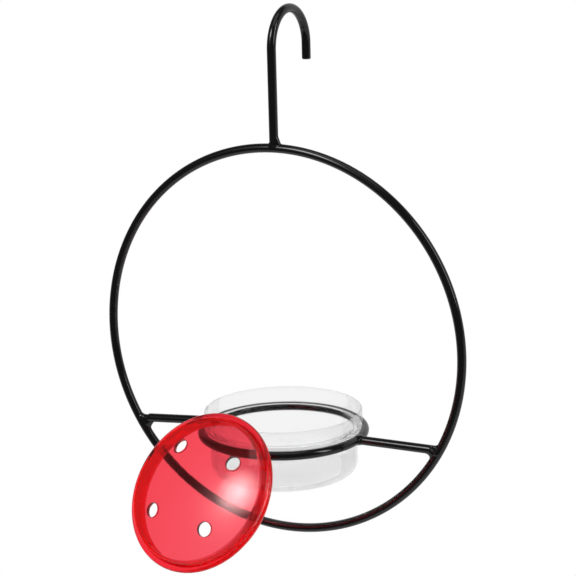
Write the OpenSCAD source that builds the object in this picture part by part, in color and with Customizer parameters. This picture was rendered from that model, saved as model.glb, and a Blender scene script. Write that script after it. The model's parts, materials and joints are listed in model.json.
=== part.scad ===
// Hanging nectar feeder: a welded wire hoop with a hook and a cup ring, a clear drop-in cup and a
// domed lid with feeding ports, the lid taken off and leaning in front of the cup.
// Millimetres, Z up. The origin is the hook seat and the hoop lies in the XZ plane.

/* [Wire frame] */
// Hoop radius, to the middle of the wire
hoop_r = 100; // [85:1:125]
// Wire diameter over its paint
wire_d = 4.6; // [3.8:0.1:5.4]
// Height of the hook's bend centre above the top of the hoop
stem_h = 48.6; // [35:0.2:70]
// Hook bend radius, to the middle of the wire
bend_r = 19.2; // [14:0.2:26]
// Straight tail below the hook's bend
tail_h = 8.3; // [4:0.1:20]
// Rounding of the tail's cut end
tail_edge = 0.7; // [0.3:0.1:1.2]
// Drop of the crossbar below the hoop centre
bar_drop = 47.2; // [35:0.2:55]
// How much lower the left bar meets the hoop than it leaves the cup ring
left_dip = 3.6; // [0:0.1:6]
// Offset of the cup ring to the right of the hoop centre
ring_side = 1.2; // [0:0.1:3]

/* [Welds] */
// Fillet radius between two wires
weld_f = 3; // [1.5:0.1:4]
// Fillet radius in the sharp corner under the left bar
corner_f = 4.6; // [2:0.1:5.5]
// Fillet radius on the right of the hook's stem
hook_f = 3.8; // [2:0.1:5]
// Thickness of a fillet's toe
weld_toe = 0.25; // [0.15:0.05:0.5]
// How far a bead stands out beyond the wire
weld_bulge = 0.9; // [0.7:0.1:1.2]
// Shift of a bead from the run wire towards the joining wire
weld_shift = 1.4; // [0.8:0.1:1.8]
// Thickness of the web that carries a fillet
web_t = 3.2; // [2.4:0.1:3.7]

/* [Cup] */
// Outside radius of the cup's lower body
body_r = 38.1; // [32:0.1:44]
// Outside radius of the collar less that of the body
collar_step = 2.8; // [2.4:0.1:3.6]
// Height of the body below the ledge
body_h = 23.8; // [18:0.1:32]
// Height of the collar above the ledge
collar_h = 9.5; // [7:0.1:14]
// Outside rounding of the bottom corner
cup_corner = 5.5; // [3:0.1:8]
// Wall of the cup
cup_wall = 1.6; // [1.2:0.1:2]
// Free play between the body and the cup ring
ring_play = 1.5; // [1:0.1:1.8]
// Gap left under the ledge where the cup rests on its ring
seat_gap = 0.3; // [0.2:0.05:0.5]

/* [Lid] */
// Rise of the dome above its edge
dome_rise = 6.4; // [4:0.1:12]
// How far the dome's edge lies inside the outside of the rim
dome_in = 3.8; // [3.4:0.1:4.2]
// Height of the dome's edge above the middle of the rim
shoulder_h = 4.3; // [3:0.1:6]
// How much wider the shoulder is at the middle of the rim than at the dome's edge
shoulder_flare = 1.6; // [1.2:0.1:2]
// Wall of the dome
lid_wall = 1.8; // [1.4:0.1:2.4]
// Rounding of the rim, half the rim's thickness
rim_r = 1.3; // [1:0.1:1.5]
// Skirt below the underside of the rim
skirt_h = 4.2; // [1:0.1:7]
// Wall of the skirt
skirt_wall = 1.6; // [1.2:0.1:2]
// Free play between the skirt and the inside of the collar
skirt_play = 1.8; // [0.4:0.1:2]
// Diameter of a feeding port
port_d = 7.2; // [5:0.1:9]
// Radius of the circle that the ports lie on
port_ring = 24.4; // [20:0.1:27]
// Turn of the first port from the lid's level line
port_turn = 40.4; // [0:0.1:90]
// Tilt of the lid from level
lid_lean = 54.7; // [50:0.1:62]
// Bearing of the lid round the cup, from the front to the hook's left
lid_bearing = 10.2; // [0:0.1:30]
// Height of the lid's top edge above the cup's rim
lid_rise = 8.5; // [6:0.1:14]
// Gap between the lid's inner edge and the cup's way up
lid_gap = 0.6; // [0.5:0.1:3]

/* [Hidden] */
$fn = 144;
wire_fn = 72;
turn_fn = 360;
wire_r = wire_d / 2;
// Top of the hook's inside, the point that hangs on a support
seat_z = hoop_r + stem_h + bend_r - wire_r;
seat = [0, bend_r, seat_z];
// Cup ring, tied to the body it holds
ring_r = body_r + ring_play + wire_r;
collar_r = body_r + collar_step;
// The ledge's rounded edge rests on the shoulder of the ring's wire
ledge_edge = cup_wall / 2;
rest = wire_r + ledge_edge + seat_gap;
rest_x = ring_r - collar_r + ledge_edge;
ledge_z = sqrt(rest * rest - rest_x * rest_x) - ledge_edge - bar_drop;
cup_z = ledge_z - body_h;
cup_h = body_h + collar_h;
rim_z = ledge_z + collar_h;
collar_in = collar_r - cup_wall;
// Lid: flush with the collar, its skirt inside the collar
lid_r = collar_r;
skirt_r = collar_in - skirt_play;
edge_r = lid_r - dome_in;
foot_r = edge_r + shoulder_flare;
dome_r = (edge_r * edge_r + dome_rise * dome_rise) / (2 * dome_rise);
dome_z = shoulder_h + dome_rise - dome_r;
rim_in = lid_r - rim_r;
skirt_low = -rim_r - skirt_h;
// Each port runs square through the dome
port_tilt = asin(port_ring / dome_r);
port_count = 4;
// Lid pose: its rim and its skirt both stay just outside the cup's way up
rim_reach = lid_r * cos(lid_lean) + rim_r * sin(lid_lean);
skirt_reach = skirt_r * cos(lid_lean) - skirt_low * sin(lid_lean);
lid_out = collar_r + lid_gap + max(rim_reach, skirt_reach);
lid_z = rim_z + lid_rise - lid_r * sin(lid_lean);
// Right bar: where it leaves the cup ring
right_start = ring_r + ring_side;
// Left bar: its slope, and its drop and start in a frame turned by that slope about the hoop's axis
left_gap = ring_r - ring_side;
left_end = bar_end(bar_drop + left_dip);
left_turn = atan2(left_dip, left_end - left_gap);
left_drop = bar_drop * cos(left_turn) - left_gap * sin(left_turn);
left_start = left_gap * cos(left_turn) + bar_drop * sin(left_turn);
bead_r = wire_r + weld_bulge;
// Overlap that keeps a cutter clear of the face it opens
over = 1;

// How far from the hoop's axis a bar at a given drop meets the middle of the hoop's wire
function bar_end(drop) = sqrt(hoop_r * hoop_r - drop * drop);

// Moves the hoop centre's frame to the hook seat
module placed() {
    translate(-seat)
        children();
}

// Turns a part made for the right bar into the left one's
module to_left() {
    mirror([1, 0, 0])
        rotate([0, left_turn, 0])
            children();
}

// Horizontal wire circle
module wire_circle(r) {
    rotate_extrude($fn = turn_fn)
        translate([r, 0])
            circle(d = wire_d, $fn = wire_fn);
}

module hoop_wire() {
    rotate([90, 0, 0])
        wire_circle(hoop_r);
}

module ring_wire() {
    translate([ring_side, 0, -bar_drop])
        wire_circle(ring_r);
}

// Straight wire along X from a start inside the cup ring's wire to the middle of the hoop's
module bar_wire(drop, start) {
    translate([start, 0, -drop])
        rotate([0, 90, 0])
            cylinder(d = wire_d, h = bar_end(drop) - start);
}

module right_wire() {
    bar_wire(bar_drop, right_start);
}

module left_wire() {
    to_left()
        bar_wire(left_drop, left_start);
}

module stem_wire() {
    translate([0, 0, hoop_r])
        cylinder(d = wire_d, h = stem_h);
}

// Fillet of radius f between a straight wire along X at height off and a circular wire about the
// origin, tangent to both edges but for its blunt toes; out is 1 where the straight wire stands
// outside the circle and -1 inside it
module fillet_side(off, circle_r, out, f) {
    edge = off + wire_r;
    run = circle_r + out * wire_r;
    mid_r = run + out * f;
    mid_y = edge + f;
    mid_x = sqrt(mid_r * mid_r - mid_y * mid_y);
    touch = run / mid_r;
    core = circle_r / mid_r;
    difference() {
        polygon([[mid_x, off], [mid_x, mid_y], [touch * mid_x, touch * mid_y],
            [core * mid_x, core * mid_y], [sqrt(circle_r * circle_r - off * off), off]]);
        translate([mid_x, mid_y])
            circle(r = f - weld_toe);
    }
}

// Both fillets of a joint as one web, lying in the XY plane
module fillet_web(off, circle_r, out, high_f, low_f) {
    linear_extrude(height = web_t, center = true) {
        fillet_side(off, circle_r, out, high_f);
        mirror([0, 1])
            fillet_side(-off, circle_r, out, low_f);
    }
}

// Bead and fillets between a bar at a given drop and the hoop
module hoop_weld(drop, low_f) {
    end = bar_end(drop);
    translate([end - weld_shift - wire_r * drop / end, 0, -drop])
        sphere(r = bead_r);
    rotate([90, 0, 0])
        fillet_web(-drop, hoop_r, -1, weld_f, low_f);
}

// Bead and fillets between a bar and the cup ring, about the ring's centre
module ring_weld() {
    translate([ring_r + weld_shift, 0, 0])
        sphere(r = bead_r);
    fillet_web(0, ring_r, 1, weld_f, weld_f);
}

module hoop() {
    color([0.05, 0.05, 0.055])
        placed()
            hoop_wire();
}

// Stem, half-turn bend and a tail whose cut end has a small rounding
module hook() {
    color([0.05, 0.05, 0.055])
        placed() {
            difference() {
                stem_wire();
                hoop_wire();
            }
            translate([0, bend_r, hoop_r + stem_h])
                rotate([90, 0, 90])
                    rotate_extrude(angle = 180)
                        translate([bend_r, 0])
                            circle(d = wire_d);
            translate([0, 2 * bend_r, hoop_r + stem_h - tail_h])
                rotate_extrude() {
                    square([wire_r - tail_edge, tail_h]);
                    translate([0, tail_edge])
                        square([wire_r, tail_h - tail_edge]);
                    intersection() {
                        translate([wire_r - tail_edge, tail_edge])
                            circle(r = tail_edge);
                        square(wire_d);
                    }
                }
        }
}

module cup_ring() {
    color([0.05, 0.05, 0.055])
        placed()
            ring_wire();
}

module right_bar() {
    color([0.05, 0.05, 0.055])
        placed()
            difference() {
                right_wire();
                hoop_wire();
                ring_wire();
            }
}

module left_bar() {
    color([0.05, 0.05, 0.055])
        placed()
            difference() {
                left_wire();
                hoop_wire();
                ring_wire();
            }
}

module hook_weld() {
    color([0.05, 0.05, 0.055])
        placed()
            difference() {
                union() {
                    translate([0, 0, hoop_r + weld_shift])
                        sphere(r = bead_r);
                    rotate([0, -90, 90])
                        fillet_web(0, hoop_r, 1, weld_f, hook_f);
                }
                hoop_wire();
                stem_wire();
            }
}

module right_hoop_weld() {
    color([0.05, 0.05, 0.055])
        placed()
            difference() {
                hoop_weld(bar_drop, weld_f);
                hoop_wire();
                right_wire();
            }
}

module left_hoop_weld() {
    color([0.05, 0.05, 0.055])
        placed()
            difference() {
                to_left()
                    hoop_weld(left_drop, corner_f);
                hoop_wire();
                left_wire();
            }
}

module right_ring_weld() {
    color([0.05, 0.05, 0.055])
        placed()
            difference() {
                translate([ring_side, 0, -bar_drop])
                    ring_weld();
                ring_wire();
                right_wire();
            }
}

module left_ring_weld() {
    color([0.05, 0.05, 0.055])
        placed()
            difference() {
                translate([ring_side, 0, -bar_drop])
                    mirror([1, 0, 0])
                        ring_weld();
                ring_wire();
                left_wire();
            }
}

// Body section with a rounded bottom corner, inset by a wall
module body_section(inset, top) {
    corner = cup_corner - inset;
    wall_r = body_r - inset;
    translate([0, inset]) {
        square([wall_r - corner, corner]);
        translate([0, corner])
            square([wall_r, top - inset - corner]);
        intersection() {
            translate([wall_r - corner, corner])
                circle(r = corner);
            square(wall_r);
        }
    }
}

// Collar with a rounded lower edge, up to where the rim's rounding starts
module collar_section() {
    translate([0, body_h])
        square([collar_r - ledge_edge, collar_h - ledge_edge]);
    translate([0, body_h + ledge_edge])
        square([collar_r, collar_h - 2 * ledge_edge]);
    translate([collar_r - ledge_edge, body_h + ledge_edge])
        circle(r = ledge_edge);
}

// Cup wall with its ledge, closed by a fully rounded rim
module cup_section() {
    difference() {
        union() {
            body_section(0, body_h + cup_wall);
            collar_section();
        }
        body_section(cup_wall, cup_h);
        translate([0, body_h + cup_wall])
            square([collar_in, collar_h]);
    }
    translate([collar_r - ledge_edge, cup_h - ledge_edge])
        circle(r = ledge_edge);
}

module cup() {
    color([0.86, 0.9, 0.92, 0.4])
        placed()
            translate([ring_side, 0, cup_z])
                rotate_extrude()
                    cup_section();
}

// Dome on a sloping shoulder that stands on a rounded rim, with a skirt and a hollow below; height 0
// is the middle of the rim
module lid_section() {
    difference() {
        union() {
            intersection() {
                translate([0, dome_z])
                    circle(r = dome_r, $fn = turn_fn);
                square([edge_r, shoulder_h + dome_rise + over]);
            }
            polygon([[0, -rim_r], [rim_in, -rim_r], [rim_in, 0], [foot_r, 0], [edge_r, shoulder_h],
                [0, shoulder_h]]);
            translate([rim_in, 0])
                circle(r = rim_r);
            translate([0, skirt_low])
                square([skirt_r, -skirt_low]);
        }
        intersection() {
            translate([0, dome_z])
                circle(r = dome_r - lid_wall, $fn = turn_fn);
            translate([0, skirt_low - over])
                square([skirt_r - skirt_wall, dome_rise + shoulder_h - skirt_low + over]);
        }
    }
}

// Port through the dome, on the side of +X
module port_cutter() {
    translate([0, 0, dome_z])
        rotate([0, port_tilt, 0])
            translate([0, 0, dome_r - lid_wall - over])
                cylinder(d = port_d, h = lid_wall + 2 * over);
}

module lid() {
    color([0.85, 0.08, 0.12, 0.7])
        placed()
            translate([ring_side, 0, 0])
                rotate([0, 0, -lid_bearing])
                    translate([0, -lid_out, lid_z])
                        rotate([lid_lean, 0, 0])
                            difference() {
                                rotate_extrude()
                                    lid_section();
                                for (k = [0 : port_count - 1])
                                    rotate([0, 0, port_turn + k * 360 / port_count])
                                        port_cutter();
                            }
}

hoop();
hook();
cup_ring();
left_bar();
right_bar();
hook_weld();
left_hoop_weld();
right_hoop_weld();
left_ring_weld();
right_ring_weld();
cup();
lid();
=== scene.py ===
"""Looks of the hanging nectar feeder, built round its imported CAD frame.

Every shown piece is a surface of two parameters, computed in millimetres about the hoop centre and then
moved to the row frame, whose origin is the hook seat and whose unit is the metre.
"""
import json
import math

import bmesh
import bpy
import numpy as np
from mathutils import Matrix


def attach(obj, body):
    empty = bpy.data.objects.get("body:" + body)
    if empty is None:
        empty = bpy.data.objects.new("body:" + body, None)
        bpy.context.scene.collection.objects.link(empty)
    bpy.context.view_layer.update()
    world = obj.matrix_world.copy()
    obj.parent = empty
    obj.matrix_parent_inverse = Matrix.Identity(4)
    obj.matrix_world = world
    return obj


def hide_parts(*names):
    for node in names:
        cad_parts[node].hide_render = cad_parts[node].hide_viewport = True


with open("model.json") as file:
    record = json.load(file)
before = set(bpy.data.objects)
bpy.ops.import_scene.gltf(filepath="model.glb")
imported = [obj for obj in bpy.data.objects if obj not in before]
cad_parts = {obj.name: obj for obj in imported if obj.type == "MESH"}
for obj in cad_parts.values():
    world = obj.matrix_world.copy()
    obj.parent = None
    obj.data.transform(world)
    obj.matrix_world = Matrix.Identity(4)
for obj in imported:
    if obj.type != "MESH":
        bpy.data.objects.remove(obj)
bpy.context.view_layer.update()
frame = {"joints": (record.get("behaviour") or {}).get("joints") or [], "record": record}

MM = 0.001
TAU = 2 * math.pi

# Wire frame
HOOP_R, WIRE_R = 100.0, 2.3
STEM_H, BEND_R, TAIL_H, TAIL_EDGE = 48.6, 19.2, 8.3, 0.7
BAR_DROP, LEFT_DIP = 47.2, 3.6
RING_R, RING_SIDE = 41.9, 1.2
SEAT = np.array([0.0, BEND_R, HOOP_R + STEM_H + BEND_R - WIRE_R])
ORIGIN = np.zeros(3)
AXIS_Y, AXIS_Z = np.array([0.0, 1.0, 0.0]), np.array([0.0, 0.0, 1.0])
RING_MID = np.array([RING_SIDE, 0.0, -BAR_DROP])

# Straight wires, each from its near end to its far end
STEM = np.array([[0.0, 0.0, HOOP_R], [0.0, 0.0, HOOP_R + STEM_H]])
LEFT_LOW = BAR_DROP + LEFT_DIP
LEFT_END, RIGHT_END = (math.sqrt(HOOP_R ** 2 - drop ** 2) for drop in (LEFT_LOW, BAR_DROP))
LEFT_BAR = np.array([[RING_SIDE - RING_R, 0.0, -BAR_DROP], [-LEFT_END, 0.0, -LEFT_LOW]])
RIGHT_BAR = np.array([[RING_SIDE + RING_R, 0.0, -BAR_DROP], [RIGHT_END, 0.0, -BAR_DROP]])

# Wire ends: rounding of a cut, and how much shorter and thinner the left bar is inside its weld
CUT_EDGE, LEFT_SPARE, LEFT_NECK = 0.35, 6.0, 0.5

# Grid steps along the wires and round their ends
STEM_STEPS, BEND_STEPS, TAIL_STEPS, BAR_STEPS = 40, 64, 10, 30
TAIL_EDGE_STEPS, CUT_STEPS = 8, 6

# Welds: how far a centre lies from the run wire, along the joining one; how deep the skin lies under the
# wires, the radius where it sinks in, and how fast; the search along each direction; how uneven the blend
# is, with the number of lumps round Y and down it; and how closely a fill keeps to its corner
STEM_OFF, RING_OFF, HOOP_OFF = 1.4, 1.4, 1.6
WELD_TUCK, WELD_REACH, WELD_SINK = 0.05, 9.0, 0.5
WELD_FAR, WELD_STEPS = 15.0, 240
WELD_LUMPS, LUMPS_ROUND, LUMPS_DOWN, FILL_FOCUS = 0.15, 3, 4, 4

# Cup, standing on its base mount, with the fillets of its ledge and the rounding of the ledge's inner edge
BODY_H, COLLAR_H = 23.8, 9.5
BODY_R, COLLAR_R, CUP_WALL, CUP_CORNER = 38.1, 40.9, 1.6, 5.5
LEDGE_FILLET, LEDGE_ROUND = 0.5, 0.4

# Lid, placed by its ports and by the joint along its own axis; its rim's bead starts at an angle in degrees
LID_R, LID_WALL, RIM_R = 40.9, 1.8, 1.3
DOME_RISE, DOME_IN, SHOULDER_H, SHOULDER_FLARE = 6.4, 3.8, 4.3, 1.6
EDGE_ROUND, SHOULDER_FOOT, SKIRT_EDGE = 0.5, 0.95, 0.35
SKIRT_R, SKIRT_WALL, SKIRT_H = 37.5, 1.6, 4.2
SKIRT_FILLET, HOLLOW_FILLET, RIM_START = 0.3, 0.5, 140
PORT_R, PORT_RING, PORT_TURN, PORT_EDGE = 3.6, 24.4, 40.4, 0.2
EDGE_R = LID_R - DOME_IN
DOME_R = (EDGE_R ** 2 + DOME_RISE ** 2) / (2 * DOME_RISE)
DOME_Z = SHOULDER_H + DOME_RISE - DOME_R
PORT_TILT = math.asin(PORT_RING / DOME_R)
mounts = {m["name"]: np.array(m["pos_m"]) / MM + SEAT for m in frame["record"]["mounts"]}
CUP_BASE = mounts["cup_base"]
LID_AXIS = np.array(next(j["axis"] for j in frame["joints"] if j["name"] == "lid_away"))
PORTS = [at for name, at in mounts.items() if name.startswith("port_")]
PORT_H = DOME_Z + (DOME_R - LID_WALL / 2) * math.cos(PORT_TILT)
LID_CENTRE = np.mean(PORTS, axis=0) - PORT_H * LID_AXIS

# Dome grid: radius where the quarters end, and how their rows crowd towards the port
FIELD_R, FIELD_CROWD = 33.0, 0.8

# Noise in cells a metre: slow changes of sheen, ripples of plastic, orange peel of paint and mottle of the
# backdrop; then the strength and the height in metres of the two that raise the surface
SLOW, RIPPLE, PEEL, MOTTLE = 45.0, 260.0, 500.0, 3.0
RIPPLE_BUMP, PEEL_BUMP = (0.04, 0.0003), (0.03, 0.00005)

# Paint's looks: its tints, and its least roughness with what the slow noise adds
ENAMEL_TINTS = (0.002, 0.002, 0.0022), (0.005, 0.005, 0.0052)
ENAMEL_ROUGH, ENAMEL_UNEVEN = 0.1, 0.1

# Plastic's looks: the least share of its roughness with what the slow noise adds, and its coat's roughness
PLASTIC_EVEN, PLASTIC_UNEVEN, COAT_ROUGH = 0.8, 0.4, 0.08

# Cup's looks: heights above its base, ledge or top between which they change, and shares of the light bent
CUP_CLEAR, CUP_FOOT = (9, 3), (5, 1)
UNDER_LEDGE, OVER_LEDGE = (-2.5, -1.5), (0.35, 0.1)
CUP_LIP = (-1.6, -0.8)
WALL_SHARE, LEDGE_SHARE, END_SHARE = 0.22, 0.78, 0.1
WALL_TINTS = (0.61, 0.612, 0.615), (0.65, 0.652, 0.655)
BOTTOM_TINT = (0.98, 0.98, 0.98)

# Lid's looks: radii and heights between which they change, the share of light that goes straight on through
# the band of shoulder and skirt, and how much of that share the rim bends after all; then its tints, where
# the walls of the ports, the skirt and the shoulder take painted shade, darker red than the dome
BAND_RADII, BAND_HEIGHTS = (35.3, 35.8), (4.25, 4.05)
RIM_RADII, SHOULDER_SHADE_HEIGHTS, PORT_SHADE_RADII = (38.2, 38.5), (0.2, 0.6), (3.75, 4.1)
BAND_THROUGH, RIM_KEPT = 0.5, 0.7
DOME_TINTS = (0.97, 0.93, 0.94), (1.0, 0.97, 0.98)
# Painted shade: the walls of the ports, the skirt and the shoulder are tinted darker red
PORT_SHADE_TINT, SKIRT_SHADE_TINT = (0.2, 0.01, 0.02), (0.62, 0.02, 0.05)
SHOULDER_SHADE_TINT, RIM_TINT = (0.3, 0.02, 0.04), (0.95, 0.85, 0.88)

# Stage, in metres: the floor, the cove and the wall behind it, the radii over which the floor fades to
# white, its own glow, the share of white that mirrors see, its tints, and the point that the lamps face
FLOOR_Z, FLOOR_NEAR, FLOOR_FAR, FLOOR_HALF = -0.8, -0.7, 1.4, 6
COVE_R, WALL_MID, WALL_TOP = 1.0, 2.0, 3.5
FADE_NEAR, FADE_FAR, FLOOR_GLOW, MIRRORED = 0.4, 0.8, 0.55, 0.6
BACKDROP_TINTS = (0.79, 0.79, 0.79), (0.81, 0.81, 0.81)
MIDDLE = np.array([0.0, -0.02, -0.14])

# Light: the room's level and the strength of the key lamp's face; the bearing and height in degrees and the
# distance of its middle and of its bright spot; and the radius, fade and radiance of the glow round each
ROOM, LAMP_TOP = 0.12, 20.0
KEY_AT, KEY_SPOT = (-23.5, 34, 1.3), (-20, 42, 1.3)
KEY_GLOW, SPOT_GLOW = (1.16, 6.0, 5.0), (0.335, 1.36, 16.0)

# Camera, from the photograph
CAM_AZ, CAM_EL, CAM_ROLL = math.radians(27.3056), math.radians(13.4052), math.radians(-1.48)
CAM_POS = np.array([407.48, -777.99, 237.42])
CAM_LENS, CAM_SENSOR = 111.0, 36.0
CAM_NEAR, CAM_FAR = 0.02, 20.0


# Meshes

def grid_faces(rows, cols, wrap_rows=False, wrap_cols=True):
    """Quads of a rows by cols grid of points stored row by row; a wrapped side joins its last line to its
    first."""
    r = np.arange(rows if wrap_rows else rows - 1)[:, None]
    c = np.arange(cols if wrap_cols else cols - 1)[None, :]
    r2, c2 = (r + 1) % rows, (c + 1) % cols
    return np.stack([r * cols + c, r * cols + c2, r2 * cols + c2, r2 * cols + c], -1).reshape(-1, 4)


def shown_object(name, mesh, material):
    """Puts a mesh into the scene, shaded smooth and with its material."""
    mesh.shade_smooth()
    mesh.materials.append(material)
    obj = bpy.data.objects.new(name, mesh)
    bpy.context.scene.collection.objects.link(obj)
    return obj


def piece(name, parts, node, body, material):
    """One shown piece: joins the given (points, quads) parts, merges points that coincide, drops quads that
    collapse and turns every face outward. It stands for a CAD node and moves with that node's body."""
    base, points, quads = 0, [], []
    for p, q in parts:
        points.append(p.reshape(-1, 3))
        quads.append(q + base)
        base += len(points[-1])
    points, quads = np.concatenate(points), np.concatenate(quads)
    _, first, back = np.unique(np.round(points, 5), axis=0, return_index=True, return_inverse=True)
    points, quads = points[first], back.reshape(-1)[quads]
    faces = []
    for q in quads.tolist():
        ring = [v for i, v in enumerate(q) if v != q[i - 1]]
        if len(set(ring)) > 2:
            faces.append(ring)
    mesh = bpy.data.meshes.new(name)
    mesh.from_pydata(((points - SEAT) * MM).tolist(), [], faces)
    mesh.validate()
    turner = bmesh.new()
    turner.from_mesh(mesh)
    bmesh.ops.recalc_face_normals(turner, faces=turner.faces)
    turner.to_mesh(mesh)
    turner.free()
    obj = shown_object(name, mesh, material)
    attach(obj, body)
    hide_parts(node)


def sweep(centres, across, side, radii, count=40):
    """Tube: at each centre of the path a circle of the given radius in the plane of the two unit vectors
    across and side. A radius of 0 closes an end."""
    a = np.linspace(0, TAU, count, endpoint=False)[None, :, None]
    ring = np.cos(a) * across[:, None, :] + np.sin(a) * side[:, None, :]
    return centres[:, None, :] + radii[:, None, None] * ring, grid_faces(len(centres), count)


def torus(mid, radius, upright, around=720, count=48):
    """Wire circle: the wire's own circle carried round a larger one, in the XZ plane if upright, else
    level."""
    t = np.linspace(0, TAU, around, endpoint=False)
    a = np.linspace(0, TAU, count, endpoint=False)
    t, a = np.meshgrid(t, a, indexing="ij")
    out, up = radius + WIRE_R * np.cos(a), WIRE_R * np.sin(a)
    flat = [out * np.sin(t), up, out * np.cos(t)] if upright else [out * np.cos(t), out * np.sin(t), up]
    return mid + np.stack(flat, -1), grid_faces(around, count, wrap_rows=True)


def revolve(profile, count=192, start=0.0):
    """Surface of revolution about Z: each (radius, height) of the profile carried round a circle."""
    t = start + np.linspace(0, TAU, count, endpoint=False)[None, :]
    r, z = profile[:, :1], profile[:, 1:]
    p = np.stack([r * np.cos(t), r * np.sin(t), z + 0 * t], -1)
    return p, grid_faces(len(profile), count)


def arc(x, y, radius, start, end, steps=8):
    """Points of a circular arc about (x, y), between two angles in degrees."""
    a = np.radians(np.linspace(start, end, steps))
    return np.stack([x + radius * np.cos(a), y + radius * np.sin(a)], -1)


def line(x0, y0, x1, y1, steps=6):
    """Points of a straight line."""
    s = np.linspace(0, 1, steps)
    return np.stack([x0 + (x1 - x0) * s, y0 + (y1 - y0) * s], -1)


# Wire pieces

def hook_surface():
    """Wire swept up the stem, round the half-turn bend and down the tail, whose end is rounded off."""
    up = np.linspace(0, STEM_H, STEM_STEPS, endpoint=False)
    bend = np.linspace(0, math.pi, BEND_STEPS)
    down = np.linspace(0, TAIL_H - TAIL_EDGE, TAIL_STEPS)[1:]
    edge = np.linspace(0, math.pi / 2, TAIL_EDGE_STEPS)[1:]
    top, tail_y = HOOP_R + STEM_H, 2 * BEND_R
    y = np.concatenate([0 * up, BEND_R - BEND_R * np.cos(bend), 0 * down + tail_y, 0 * edge + tail_y])
    z = np.concatenate([HOOP_R + up, top + BEND_R * np.sin(bend), top - down,
                        top - TAIL_H + TAIL_EDGE - TAIL_EDGE * np.sin(edge)])
    turn = np.concatenate([0 * up, bend, 0 * down + math.pi, 0 * edge + math.pi])
    radii = np.concatenate([0 * up, 0 * bend, 0 * down, TAIL_EDGE * (np.cos(edge) - 1)]) + WIRE_R
    y, z, turn = (np.concatenate([v[:1], v, v[-1:]]) for v in (y, z, turn))
    radii = np.concatenate([[0.0], radii, [0.0]])
    centres = np.stack([0 * y, y, z], -1)
    across = np.stack([0 * y + 1, 0 * y, 0 * y], -1)
    side = np.stack([0 * y, -np.cos(turn), np.sin(turn)], -1)
    return sweep(centres, across, side, radii)


def bar_surface(ends, spare=0.0):
    """Straight wire between two points in the hoop's plane, closed at both ends, the far one with a rounded
    cut edge; spare shortens the far end."""
    length = np.linalg.norm(ends[1] - ends[0])
    way = (ends[1] - ends[0]) / length
    edge = np.linspace(0, math.pi / 2, CUT_STEPS)
    run = np.linspace(0, length - spare - CUT_EDGE, BAR_STEPS)[:-1]
    s = np.concatenate([[0.0], run, length - spare - CUT_EDGE + CUT_EDGE * np.sin(edge), [length - spare]])
    radii = np.concatenate([[0.0], 0 * run + WIRE_R, WIRE_R - CUT_EDGE + CUT_EDGE * np.cos(edge), [0.0]])
    centres = ends[0] + s[:, None] * way
    across = np.tile(AXIS_Y, (len(s), 1))
    side = np.tile(np.cross(way, AXIS_Y), (len(s), 1))
    return sweep(centres, across, side, radii)


# Weld beads

def from_circle(p, mid, axis, radius):
    """Distance of points from a circle about mid, square to an axis."""
    d = p - mid
    h = d @ axis
    q = np.linalg.norm(d - h[..., None] * axis, axis=-1)
    return np.hypot(q - radius, h)


def from_line(p, ends):
    """Distance of points from the straight line between two ends."""
    way = ends[1] - ends[0]
    s = np.clip((p - ends[0]) @ way / (way @ way), 0, 1)
    return np.linalg.norm(p - ends[0] - s[..., None] * way, axis=-1)


def soft_min(a, b, blend):
    """The lesser of two distances, rounded off where they differ by less than blend: the corner between two
    surfaces is then filled as a fillet is."""
    h = np.maximum(blend - np.abs(a - b), 0) / blend
    return np.minimum(a, b) - h * h * blend / 4


def weld_surface(centre, run, joining, blend, seed, fills=(), beads=(), rows=73, cols=144):
    """Weld at a joint of two wires, seen from its centre: along each direction, given by two angles about Y,
    the distance at which the blend of both wires ends. The blend changes a little from place to place, by
    the seed. Each fill is a direction and the extra blend of the corner that lies there, each bead a point
    and its radius. The skin lies just under each wire's own and sinks into it further out, which closes
    it."""
    theta, phi = np.linspace(0, math.pi, rows), np.linspace(0, TAU, cols, endpoint=False)
    theta, phi = np.meshgrid(theta, phi, indexing="ij")
    way = np.stack([np.sin(theta) * np.cos(phi), np.cos(theta), np.sin(theta) * np.sin(phi)], -1)
    r = np.linspace(0, WELD_FAR, WELD_STEPS)[:, None, None]
    p = centre + r[..., None] * way
    sunk = WIRE_R - WELD_TUCK - WELD_SINK * np.maximum(r - WELD_REACH, 0)
    lumps = np.sin(LUMPS_ROUND * phi + seed) * np.sin(LUMPS_DOWN * theta + 2 * seed)
    width = blend * (1 + WELD_LUMPS * lumps)
    for corner, extra in fills:
        corner = np.array(corner) / np.linalg.norm(corner)
        width = width + extra * np.maximum(way @ corner, 0) ** FILL_FOCUS
    field = soft_min(run(p) - sunk, joining(p) - sunk, width)
    for at, size in beads:
        field = soft_min(field, np.linalg.norm(p - at, axis=-1) - size, size)
    after = np.argmax(field > 0, axis=0)[None]
    high = np.take_along_axis(field, after, 0)[0]
    low = np.take_along_axis(field, after - 1, 0)[0]
    reach = WELD_FAR / (WELD_STEPS - 1) * (after[0] - high / (high - low))
    return centre + reach[..., None] * way, grid_faces(rows, cols)


def on_hoop(p):
    """Distance from the middle of the hoop's wire."""
    return from_circle(p, ORIGIN, AXIS_Y, HOOP_R)


def on_ring(p):
    """Distance from the middle of the cup ring's wire."""
    return from_circle(p, RING_MID, AXIS_Z, RING_R)


def on_wire(ends, thinner=0.0):
    """Distance from the middle of a straight wire that starts at the skin of the wire it is welded to."""
    way = (ends[1] - ends[0]) / np.linalg.norm(ends[1] - ends[0])
    return lambda p: from_line(p, np.array([ends[0] + WIRE_R * way, ends[1]])) + thinner


# Cup and lid

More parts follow.
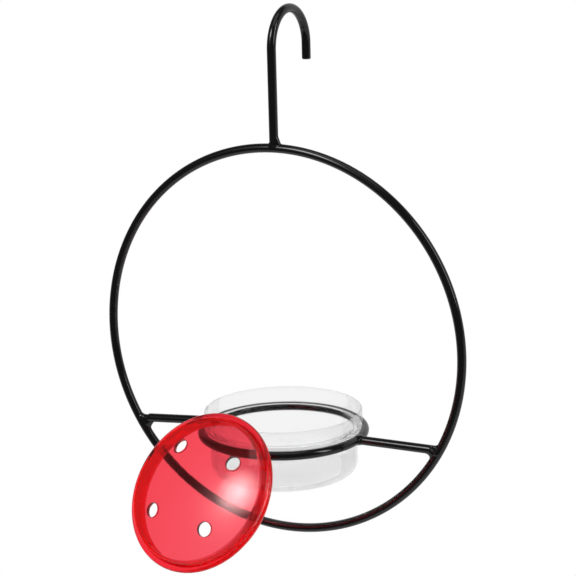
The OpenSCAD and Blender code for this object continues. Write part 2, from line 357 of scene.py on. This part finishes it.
def cup_surface():
    """Revolved cup: out along the bottom, round its corner, up the wall, out along the ledge, up the collar,
    over the rounded rim and back down inside."""
    edge, inner = CUP_WALL / 2, CUP_CORNER - CUP_WALL
    top, shelf = BODY_H + COLLAR_H, BODY_H + CUP_WALL
    body_in, collar_in = BODY_R - CUP_WALL, COLLAR_R - CUP_WALL
    f, e = LEDGE_FILLET, LEDGE_ROUND
    profile = np.concatenate([
        line(0, 0, BODY_R - CUP_CORNER, 0, 12),
        arc(BODY_R - CUP_CORNER, CUP_CORNER, CUP_CORNER, -90, 0, 14)[1:],
        line(BODY_R, CUP_CORNER, BODY_R, BODY_H - f, 8)[1:],
        arc(BODY_R + f, BODY_H - f, f, 180, 90, 5)[1:],
        arc(COLLAR_R - edge, BODY_H + edge, edge, -90, 0, 7),
        arc(COLLAR_R - edge, top - edge, edge, 0, 180, 13),
        line(collar_in, top - edge, collar_in, shelf + f, 6)[1:],
        arc(collar_in - f, shelf + f, f, 0, -90, 5)[1:],
        arc(body_in + e, shelf - e, e, 90, 180, 5),
        line(body_in, shelf - e, body_in, CUP_CORNER, 8)[1:],
        arc(BODY_R - CUP_CORNER, CUP_CORNER, inner, 0, -90, 12)[1:],
        line(BODY_R - CUP_CORNER, CUP_WALL, 0, CUP_WALL, 12)[1:],
    ])
    points, quads = revolve(profile)
    return points + CUP_BASE, quads


def lid_axes():
    """Rows are the lid's own X, Y and Z in the hoop's frame: X is level, Z is the lid's axis."""
    x = np.cross(AXIS_Z, LID_AXIS)
    x /= np.linalg.norm(x)
    return np.stack([x, np.cross(LID_AXIS, x), LID_AXIS])


def lid_parts():
    """Lid in its own frame, height 0 at the middle of its rim. Each quarter of the dome is a grid running
    from the quarter's outline to its port, over the port's rounded edges and down its wall, and back along
    the underside; the dome's edge, the shoulder, the rim and the skirt are revolved."""
    inner_r = DOME_R - LID_WALL
    spokes, steps, rows = 28, 48, 16
    eighth = math.pi / 4

    def outline(radius):
        """A quarter's outline as directions from the dome's centre: out, along its edge and back."""
        tip = math.asin(FIELD_R / radius)
        lean = np.concatenate([np.linspace(0, tip, spokes, endpoint=False), np.full(steps, tip),
                               np.linspace(tip, 0, spokes, endpoint=False)])
        around = np.concatenate([np.full(spokes, -eighth),
                                 np.linspace(-eighth, eighth, steps, endpoint=False),
                                 np.full(spokes, eighth)])
        return np.stack([np.sin(lean) * np.cos(around), np.sin(lean) * np.sin(around), np.cos(lean)], -1)

    # The port's own frame
    axis = np.array([math.sin(PORT_TILT), 0, math.cos(PORT_TILT)])
    e1 = np.array([math.cos(PORT_TILT), 0, -math.sin(PORT_TILT)])

    def blend(radius, port):
        """Rows on a sphere from the outline to a circle round the port, each a mix of both moved out to the
        sphere, and the directions of that circle's points from its middle."""
        rim = outline(radius)
        turn = np.arctan2(rim @ AXIS_Y, rim @ e1)
        ring = np.cos(turn)[:, None] * e1 + np.sin(turn)[:, None] * AXIS_Y
        hole = port * ring + math.sqrt(radius ** 2 - port ** 2) * axis
        w = np.linspace(0, 1, rows)[:, None, None] ** FIELD_CROWD
        mix = (1 - w) * rim * radius + w * hole
        return mix / np.linalg.norm(mix, axis=2, keepdims=True) * radius, ring

    mouth = PORT_R + PORT_EDGE
    outer, ring = blend(DOME_R, mouth)
    inner, _ = blend(inner_r, mouth)
    high = math.sqrt(DOME_R ** 2 - mouth ** 2) - PORT_EDGE
    low = math.sqrt(inner_r ** 2 - mouth ** 2) + PORT_EDGE
    wall = np.concatenate([arc(mouth, high, PORT_EDGE, 90, 180, 6)[1:],
                           arc(mouth, low, PORT_EDGE, 180, 270, 6)[:-1]])
    wall = wall[:, None, :1] * ring + wall[:, None, 1:] * axis
    quarter = np.concatenate([outer, wall, inner[::-1]])
    parts = []
    for k in range(4):
        t = math.radians(PORT_TURN + 90 * k)
        spin = np.array([[math.cos(t), math.sin(t), 0], [-math.sin(t), math.cos(t), 0], [0, 0, 1]])
        parts.append((quarter @ spin + [0, 0, DOME_Z], grid_faces(len(quarter), quarter.shape[1])))

    def on_dome(radius, start, end, count):
        """Points of a sphere's profile between two distances from the lid's axis."""
        r = np.linspace(start, end, count)
        return np.stack([r, DOME_Z + np.sqrt(radius ** 2 - r ** 2)], -1)

    # Dome's edge rounded between the slope of the dome and that of the shoulder, in degrees from level
    fall = math.degrees(math.asin(EDGE_R / DOME_R))
    slope = math.degrees(math.atan2(SHOULDER_H, SHOULDER_FLARE))
    half, middle = math.radians(slope - fall) / 2, math.radians(90 - (slope + fall) / 2)
    edge_x = EDGE_R - EDGE_ROUND / math.cos(half) * math.cos(middle)
    edge_y = SHOULDER_H - EDGE_ROUND / math.cos(half) * math.sin(middle)
    edge = arc(edge_x, edge_y, EDGE_ROUND, 90 - fall, 90 - slope, 7)
    foot = EDGE_R + SHOULDER_FLARE * (1 - SHOULDER_FOOT / SHOULDER_H)
    rim_in, skirt_in, skirt_low = LID_R - RIM_R, SKIRT_R - SKIRT_WALL, -RIM_R - SKIRT_H
    e, f, g = SKIRT_EDGE, SKIRT_FILLET, HOLLOW_FILLET
    meet = DOME_Z + math.sqrt(inner_r ** 2 - (skirt_in - g) ** 2)
    profile = np.concatenate([
        on_dome(DOME_R, FIELD_R, edge[0, 0], 8)[:-1],
        edge,
        line(*edge[-1], foot, SHOULDER_FOOT, 5)[1:],
        arc(rim_in, 0, RIM_R, RIM_START, -90, 28),
        line(rim_in, -RIM_R, SKIRT_R + f, -RIM_R, 4)[1:],
        arc(SKIRT_R + f, -RIM_R - f, f, 90, 180, 5)[1:],
        arc(SKIRT_R - e, skirt_low + e, e, 0, -90, 6),
        arc(skirt_in + e, skirt_low + e, e, -90, -180, 6),
        line(skirt_in, skirt_low + e, skirt_in, meet - g, 6)[1:],
        arc(skirt_in - g, meet - g, g, 0, 90, 5)[1:-1],
        on_dome(inner_r, skirt_in - g, FIELD_R, 6),
    ])
    parts.append(revolve(profile, 4 * steps, math.radians(PORT_TURN - 45)))
    return parts


def lid_in_place():
    """The lid's parts, turned to its own axes and moved to its centre."""
    return [(points @ lid_axes() + LID_CENTRE, quads) for points, quads in lid_parts()]


# Materials

class Sock:
    """A shader socket. Arithmetic on sockets and numbers adds Math nodes to its tree; node() adds any
    other."""

    def __init__(self, tree, out):
        self.tree, self.out = tree, out

    def _math(self, kind, a, b):
        n = self.tree.nodes.new("ShaderNodeMath")
        n.operation = kind
        for i, v in enumerate((a, b)):
            if isinstance(v, Sock):
                self.tree.links.new(v.out, n.inputs[i])
            else:
                n.inputs[i].default_value = v
        return Sock(self.tree, n.outputs[0])

    def __add__(self, other):
        return self._math("ADD", self, other)

    __radd__ = __add__

    def __mul__(self, other):
        return self._math("MULTIPLY", self, other)

    __rmul__ = __mul__

    def __rsub__(self, other):
        return self._math("SUBTRACT", other, self)

    def __pow__(self, other):
        return self._math("POWER", self, other)

    def node(self, kind, out=0, inputs=None, **settings):
        """Adds a node; inputs are numbers, colours or sockets by input name, settings are the node's own
        fields."""
        n = self.tree.nodes.new(kind)
        for k, v in settings.items():
            setattr(n, k, v)
        for k, v in (inputs or {}).items():
            if isinstance(v, Sock):
                self.tree.links.new(v.out, n.inputs[k])
            else:
                n.inputs[k].default_value = v
        return Sock(self.tree, n.outputs[out])


def start(name):
    """New material; returns it with its object coordinates as a socket and its empty node tree's output
    node."""
    m = bpy.data.materials.new(name)
    m.use_nodes = True
    tree = m.node_tree
    tree.nodes.clear()
    end = tree.nodes.new("ShaderNodeOutputMaterial")
    coords = tree.nodes.new("ShaderNodeTexCoord")
    return m, Sock(tree, coords.outputs["Object"]), end


def noise(at, scale, detail=3.0, rough=0.55):
    """Noise from 0 to 1 over the object's own coordinates, scale in cells a metre."""
    return at.node("ShaderNodeTexNoise", "Fac", {
        "Vector": at, "Scale": scale, "Detail": detail, "Roughness": rough})


def two_tone(at, factor, a, b):
    """Colour between a and b, each a colour or a socket."""
    ends = {k: v if isinstance(v, Sock) else (*v, 1) for k, v in ((6, a), (7, b))}
    return at.node("ShaderNodeMix", 2, {0: factor, **ends}, data_type="RGBA")


def between(value, limits, zero=0.0):
    """0 to 1 as a length goes from one limit to the other, in millimetres from a zero."""
    low, high = limits
    return value.node("ShaderNodeMapRange", 0, {
        "Value": value, "From Min": (zero + low) * MM, "From Max": (zero + high) * MM})


def vector(kind, a, b, out="Value"):
    """Vector maths on a socket and a point, a direction or nothing."""
    inputs = {0: a} if b is None else {0: a, 1: tuple(b)}
    return a.node("ShaderNodeVectorMath", out, inputs, operation=kind)


def light_path(at, name):
    """1 where the light path is of the named kind, else 0."""
    return at.node("ShaderNodeLightPath", name)


def bumped(at, height, strength, distance):
    """Normal of a surface that a noise raises by up to a distance in metres."""
    return at.node("ShaderNodeBump", 0, {"Strength": strength, "Distance": distance, "Height": height})


def enamel():
    """Glossy black paint on wire: near-black, with a faint orange peel and slow changes of sheen."""
    m, at, end = start("black_enamel")
    slow, fine = noise(at, SLOW), noise(at, PEEL, 2.0)
    s = at.node("ShaderNodeBsdfPrincipled", 0, {
        "Base Color": two_tone(at, slow, *ENAMEL_TINTS), "Roughness": ENAMEL_ROUGH + ENAMEL_UNEVEN * slow,
        "IOR": 1.5, "Normal": bumped(at, fine, *PEEL_BUMP)})
    at.tree.links.new(s.out, end.inputs["Surface"])
    return m


def plastic(name, optics, rough, bends, gloss, absorbs, density):
    """Clear moulded plastic with a slight ripple; its colour deepens with the thickness that light crosses.
    Optics gives, from the coordinates and a slow noise, the tint of its skin and the share of the light that
    it bends; the rest goes straight on, as a stand-in for light that would be caught inside."""
    m, at, end = start(name)
    slow, fine = noise(at, SLOW), noise(at, RIPPLE, 1.0)
    tint, share = optics(at, slow)
    s = at.node("ShaderNodeBsdfPrincipled", 0, {
        "Base Color": tint, "Roughness": rough * (PLASTIC_EVEN + PLASTIC_UNEVEN * slow), "IOR": bends,
        "Transmission Weight": 1.0, "Alpha": share, "Coat Weight": gloss, "Coat Roughness": COAT_ROUGH,
        "Normal": bumped(at, fine, *RIPPLE_BUMP)})
    v = at.node("ShaderNodeVolumeAbsorption", 0, {"Color": (*absorbs, 1), "Density": density})
    at.tree.links.new(s.out, end.inputs["Surface"])
    at.tree.links.new(v.out, end.inputs["Volume"])
    return m


def cup_optics(at, slow):
    """Nearly colourless, clearest at the bottom; it bends all light under its ledge, some in its rim and its
    bottom edge, and little in its thin walls."""
    height = vector("DOT_PRODUCT", at, AXIS_Z)
    base = CUP_BASE[2] - SEAT[2]
    ledge, top = base + BODY_H, base + BODY_H + COLLAR_H
    tint = two_tone(at, between(height, CUP_CLEAR, base), two_tone(at, slow, *WALL_TINTS), BOTTOM_TINT)
    under = between(height, UNDER_LEDGE, ledge) * between(height, OVER_LEDGE, ledge)
    ends = between(height, CUP_LIP, top) + between(height, CUP_FOOT, base)
    return tint, WALL_SHARE + LEDGE_SHARE * under + END_SHARE * ends


def lid_optics(at, slow):
    """Red by its thickness, with painted shade: darker red tints in the shoulder, the skirt and the walls of
    the ports stand in for the deeper red and shade seen through them. It bends all light in the dome, most
    in the rim and half in the shoulder and the skirt."""
    arm = vector("SUBTRACT", at, (LID_CENTRE - SEAT) * MM, 0)
    height = vector("DOT_PRODUCT", arm, LID_AXIS)
    radius = vector("LENGTH", vector("CROSS_PRODUCT", arm, LID_AXIS, 0), None)
    band = between(radius, BAND_RADII) * between(height, BAND_HEIGHTS)
    rim = between(radius, RIM_RADII)
    clear_of_port_shade = 1.0
    for port in PORTS:
        clear_of_port_shade = clear_of_port_shade * between(vector("DISTANCE", at, (port - SEAT) * MM), PORT_SHADE_RADII)
    # Painted shade: dark red round the wall of each port
    tint = two_tone(at, clear_of_port_shade, PORT_SHADE_TINT, two_tone(at, slow, *DOME_TINTS))
    # Painted shade: darker red over the skirt and, darker still, over the shoulder
    tint = two_tone(at, band, tint, SKIRT_SHADE_TINT)
    tint = two_tone(at, band * between(height, SHOULDER_SHADE_HEIGHTS), tint, SHOULDER_SHADE_TINT)
    tint = two_tone(at, rim, tint, RIM_TINT)
    return tint, 1 - BAND_THROUGH * band * (1 - RIM_KEPT * rim)


def backdrop_paint():
    """Plain pale floor and wall: matt paint with the feeder's shadow to the lens, fading to white away from
    it, white to what shows it through clear plastic and partly white to what mirrors it."""
    m, at, end = start("pale_backdrop")
    paint = at.node("ShaderNodeBsdfDiffuse", 0, {
        "Color": two_tone(at, noise(at, MOTTLE), *BACKDROP_TINTS)})
    white = at.node("ShaderNodeEmission", 0, {"Strength": 1.0})
    glow = at.node("ShaderNodeEmission", 0, {"Strength": FLOOR_GLOW})
    lit = at.node("ShaderNodeAddShader", 0, {0: paint, 1: glow})
    far = vector("DISTANCE", at, (0, 0, FLOOR_Z))
    edge = at.node("ShaderNodeMapRange", 0, {"Value": far, "From Min": FADE_NEAR, "From Max": FADE_FAR})
    faded = at.node("ShaderNodeMixShader", 0, {0: edge, 1: lit, 2: white})
    seen = MIRRORED * light_path(at, "Is Glossy Ray") + light_path(at, "Is Transmission Ray")
    other = at.node("ShaderNodeMixShader", 0, {0: seen, 1: paint, 2: white})
    both = at.node("ShaderNodeMixShader", 0, {0: light_path(at, "Is Camera Ray"), 1: other, 2: faded})
    at.tree.links.new(both.out, end.inputs["Surface"])
    return m


def lamp_face(spots):
    """Glowing face of a lamp, which hides nothing behind it. Each spot is a point, the radius over which its
    light fades out, the power of that fade and its radiance in the middle."""
    m, at, end = start("lamp_face")
    light = 0.0
    for point, radius, fade, radiance in spots:
        far = vector("DISTANCE", at, point)
        inner = at.node("ShaderNodeMapRange", 0, {"Value": far, "From Min": radius, "From Max": 0.0})
        light = light + radiance / LAMP_TOP * inner ** fade
    s = at.node("ShaderNodeEmission", 0, {
        "Color": two_tone(at, light, (0, 0, 0), (1, 1, 1)), "Strength": LAMP_TOP})
    thin = at.node("ShaderNodeAddShader", 0, {0: s, 1: at.node("ShaderNodeBsdfTransparent")})
    at.tree.links.new(thin.out, end.inputs["Surface"])
    return m


# Object

wire = enamel()
clear = plastic("clear_plastic", cup_optics, rough=0.12, bends=1.2, gloss=0.0,
                absorbs=(0.5, 0.5, 0.5), density=12.0)
red = plastic("red_plastic", lid_optics, rough=0.05, bends=1.4, gloss=0.3,
              absorbs=(0.994, 0.015, 0.151), density=1230.0)

wires = {
    "hoop": torus(ORIGIN, HOOP_R, upright=True),
    "hook": hook_surface(),
    "cup_ring": torus(RING_MID, RING_R, upright=False, around=480),
    "left_bar": bar_surface(LEFT_BAR, LEFT_SPARE),
    "right_bar": bar_surface(RIGHT_BAR),
}
welds = {
    "hook_weld": weld_surface(
        STEM[0] + [0, 0, STEM_OFF], on_hoop, on_wire(STEM), blend=1.6, seed=0.2,
        fills=[((0.8, 0, 1), 4.0)]),
    "left_hoop_weld": weld_surface(
        LEFT_BAR[1] + [HOOP_OFF, 0, 0], on_hoop, on_wire(LEFT_BAR[::-1], LEFT_NECK), blend=2.0, seed=0.7,
        fills=[((0.9, 0, -0.45), 7.0)]),
    "right_hoop_weld": weld_surface(
        RIGHT_BAR[1] - [HOOP_OFF, 0, 0], on_hoop, on_wire(RIGHT_BAR[::-1]), blend=2.0, seed=3.1,
        fills=[((-0.86, 0, -0.51), 2.2)], beads=[((85.0, -1.9, -45.4), 1.1)]),
    "left_ring_weld": weld_surface(
        LEFT_BAR[0] - [RING_OFF, 0, 0], on_ring, on_wire(LEFT_BAR), blend=2.4, seed=1.9),
    "right_ring_weld": weld_surface(
        RIGHT_BAR[0] + [RING_OFF, 0, 0], on_ring, on_wire(RIGHT_BAR), blend=2.4, seed=4.4),
}
for node, part in wires.items():
    piece(node + "_wire", [part], node, "frame", wire)
for node, part in welds.items():
    piece(node + "_bead", [part], node, "frame", wire)
piece("cup_clear", [cup_surface()], "cup", "cup", clear)
piece("lid_red", lid_in_place(), "lid", "lid", red)


# Stage

def stage_piece(name, points, quads, material):
    """A mesh of the stage, in metres."""
    mesh = bpy.data.meshes.new(name)
    mesh.from_pydata(points.reshape(-1, 3).tolist(), [], quads.tolist())
    mesh.validate()
    obj = shown_object(name, mesh, material)


def backdrop():
    """Floor that curves up into a wall: one profile in the YZ plane carried along X."""
    cove = np.linspace(0, math.pi / 2, 24)[1:]
    flat = np.linspace(FLOOR_NEAR, FLOOR_FAR, 12)
    wall_y = FLOOR_FAR + COVE_R
    y = np.concatenate([flat, FLOOR_FAR + COVE_R * np.sin(cove), [wall_y, wall_y]])
    z = np.concatenate([0 * flat, COVE_R - COVE_R * np.cos(cove), [WALL_MID, WALL_TOP]])
    x = np.linspace(-FLOOR_HALF, FLOOR_HALF, 13)
    p = np.stack(np.broadcast_arrays(x[None, :], y[:, None], z[:, None] + FLOOR_Z), -1)
    stage_piece("backdrop", p, grid_faces(len(y), len(x), wrap_cols=False), backdrop_paint())


def toward(bearing, height):
    """Unit vector towards a bearing, front to right, and a height, both in radians."""
    flat = math.cos(height)
    return np.array([math.sin(bearing) * flat, -math.cos(bearing) * flat, math.sin(height)])


def facing(bearing, height, distance):
    """Place and axes of a lamp that faces the feeder, from its bearing and its height in degrees: the point,
    then columns for the lamp's right, its up and its back."""
    back = toward(math.radians(bearing), math.radians(height))
    right = np.cross(AXIS_Z, back)
    right /= np.linalg.norm(right)
    return MIDDLE + distance * back, np.stack([right, np.cross(back, right), back], 1)


def softbox(name, bearing, height, distance, size, radiance):
    """Rectangular area light. Its power is what gives its face the radiance asked for."""
    at, turn = facing(bearing, height, distance)
    data = bpy.data.lights.new(name, "AREA")
    data.shape, data.size, data.size_y = "RECTANGLE", size[0], size[1]
    data.energy = radiance * math.pi * size[0] * size[1]
    obj = bpy.data.objects.new(name, data)
    obj.matrix_world = Matrix.Translation(at) @ Matrix(turn.tolist()).to_4x4()
    bpy.context.scene.collection.objects.link(obj)


def key_lamp():
    """Round lamp with a diffusing face that has a bright spot on a wide glow: rings of points from its
    middle out."""
    at, turn = facing(*KEY_AT)
    spot, _ = facing(*KEY_SPOT)
    points, quads = revolve(line(0, 0, KEY_GLOW[0], 0, steps=8), count=48)
    stage_piece("key", points @ turn.T + at, quads, lamp_face([(at, *KEY_GLOW), (spot, *SPOT_GLOW)]))


backdrop()
key_lamp()
softbox("side", bearing=85, height=28, distance=1.3, size=(0.28, 0.9), radiance=5)
softbox("top", bearing=10, height=80, distance=1.6, size=(1.2, 1.0), radiance=0.8)

world = bpy.data.worlds.new("studio")
bpy.context.scene.world = world
world.use_nodes = True
sky = Sock(world.node_tree, None)
seen = light_path(sky, "Is Camera Ray") + light_path(sky, "Is Transmission Ray")
strength = ROOM + (1 - ROOM) * seen
world.node_tree.links.new(strength.out, world.node_tree.nodes["Background"].inputs["Strength"])
world.node_tree.nodes["Background"].inputs["Color"].default_value = (1, 1, 1, 1)

# Camera

back = toward(CAM_AZ, CAM_EL)
right = np.cross(-back, AXIS_Z)
right /= np.linalg.norm(right)
up = np.cross(right, -back)
c, s = math.cos(CAM_ROLL), math.sin(CAM_ROLL)
turn = np.stack([c * right + s * up, c * up - s * right, back], 1)
camera = bpy.data.cameras.new("camera")
camera.lens, camera.sensor_width = CAM_LENS, CAM_SENSOR
camera.clip_start, camera.clip_end = CAM_NEAR, CAM_FAR
view = bpy.data.objects.new("camera", camera)
view.matrix_world = Matrix.Translation((CAM_POS - SEAT) * MM) @ Matrix(turn.tolist()).to_4x4()
bpy.context.scene.collection.objects.link(view)
bpy.context.scene.camera = view
bpy.context.scene.view_settings.view_transform = "Standard"
